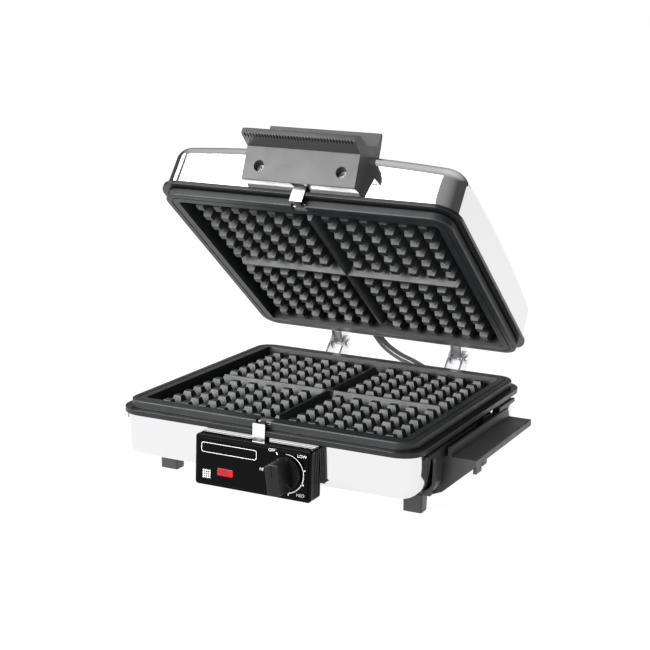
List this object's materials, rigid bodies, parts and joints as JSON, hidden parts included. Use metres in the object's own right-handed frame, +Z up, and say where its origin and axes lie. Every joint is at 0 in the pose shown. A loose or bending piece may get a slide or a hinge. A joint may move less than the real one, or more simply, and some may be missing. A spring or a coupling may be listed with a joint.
{
  "type": "waffle maker",
  "caption": "Square electric waffle maker, hinged lid open, with deep-grid plates, polished shells, black handles and a front panel with a temperature knob and red lamp.",
  "frame": {"origin": "on the table, below the middle of the cooking plates", "axes": "+Y from the control panel to the hinges, +X to the object's right hand seen from the front, +Z up"},
  "size_m": [0.295, 0.3, 0.2705],
  "materials": {
    "polished_shell": "mirror polished sheet",
    "bright_steel": "bright plated",
    "screw_steel": "zinc plated",
    "nonstick_cast_plate": "dark non-stick coat",
    "black_frame": "satin black",
    "black_plastic": "fine satin moulding",
    "gloss_black": "gloss black",
    "red_lens": "clear red",
    "lamp_glass": "clear",
    "heater_sheath": "oxidised tube",
    "ceramic": "unglazed ceramic",
    "reflector_sheet": "plain sheet",
    "cover_sheet": "plain sheet",
    "thermostat_body": "phenolic moulding",
    "shaft_steel": "turned",
    "nut_brass": "turned",
    "fuse_case": "plain",
    "wire_sleeve": "glass-braid sleeve",
    "conduit_rubber": "gloss black hose"
  },
  "bodies": {
    "base": {"base_bottom_cover": "cover_sheet", "base_shell": "polished_shell", "bottom_cover_screws": "screw_steel", "control_panel": "gloss_black", "dial_face": "gloss_black", "front_left_foot": "black_plastic", "front_right_foot": "black_plastic", "indicator_lamp": "lamp_glass", "indicator_lens": "red_lens", "internal_wiring": "wire_sleeve", "left_hinge_bracket": "bright_steel", "left_hinge_pin": "bright_steel", "left_side_handle": "black_plastic", "left_side_rail": "black_plastic", "left_side_screws": "screw_steel", "lid_conduit": "conduit_rubber", "lower_clip_pin": "bright_steel", "lower_conduit_bush": "black_frame", "lower_element_terminals": "ceramic", "lower_frame": "black_frame", "lower_grid_plate": "nonstick_cast_plate", "lower_heating_element": "heater_sheath", "lower_reflector": "reflector_sheet", "mains_gland": "black_frame", "rear_left_foot": "black_plastic", "rear_right_foot": "black_plastic", "right_hinge_bracket": "bright_steel", "right_hinge_pin": "bright_steel", "right_side_handle": "black_plastic", "right_side_rail": "black_plastic", "right_side_screws": "screw_steel", "terminal_block": "ceramic", "thermal_fuse": "fuse_case", "thermostat": "thermostat_body", "thermostat_nut": "nut_brass"},
    "lid": {"lid_shell": "polished_shell", "upper_frame": "black_frame", "upper_grid_plate": "nonstick_cast_plate", "upper_heating_element": "heater_sheath", "upper_element_terminals": "ceramic", "upper_reflector": "reflector_sheet", "lid_handle": "black_plastic", "lid_handle_screws": "screw_steel", "left_lid_arm": "bright_steel", "right_lid_arm": "bright_steel", "upper_clip_pin": "bright_steel", "upper_conduit_bush": "black_frame"},
    "knob": {"temperature_knob": "black_plastic", "thermostat_shaft": "shaft_steel"},
    "lower_clip": {"lower_plate_clip": "bright_steel"},
    "upper_clip": {"upper_plate_clip": "bright_steel"}
  },
  "joints": [
    {"name": "lid_hinge", "type": "hinge", "parent": "base", "child": "lid", "pos_m": [0, 0.1429, 0.0664], "axis": [-1, 0, 0], "range_deg": [-35.88, 144], "deforming": ["lid_conduit"]},
    {"name": "temperature_dial", "type": "hinge", "parent": "base", "child": "knob", "pos_m": [0.0273, -0.14, 0.0328], "axis": [0, 1, 0], "range_deg": [-17.5, 280]},
    {"name": "lower_clip_press", "type": "hinge", "parent": "base", "child": "lower_clip", "pos_m": [0, -0.122, 0.041], "axis": [1, 0, 0], "range_deg": [0, 5], "stiffness_Nm_per_rad": 0.05, "springref_deg": -11.46},
    {"name": "upper_clip_press", "type": "hinge", "parent": "lid", "child": "upper_clip", "pos_m": [0, -0.05931, 0.23883], "axis": [-1, 0, 0], "range_deg": [0, 5], "stiffness_Nm_per_rad": 0.05, "springref_deg": -11.46}
  ]
}
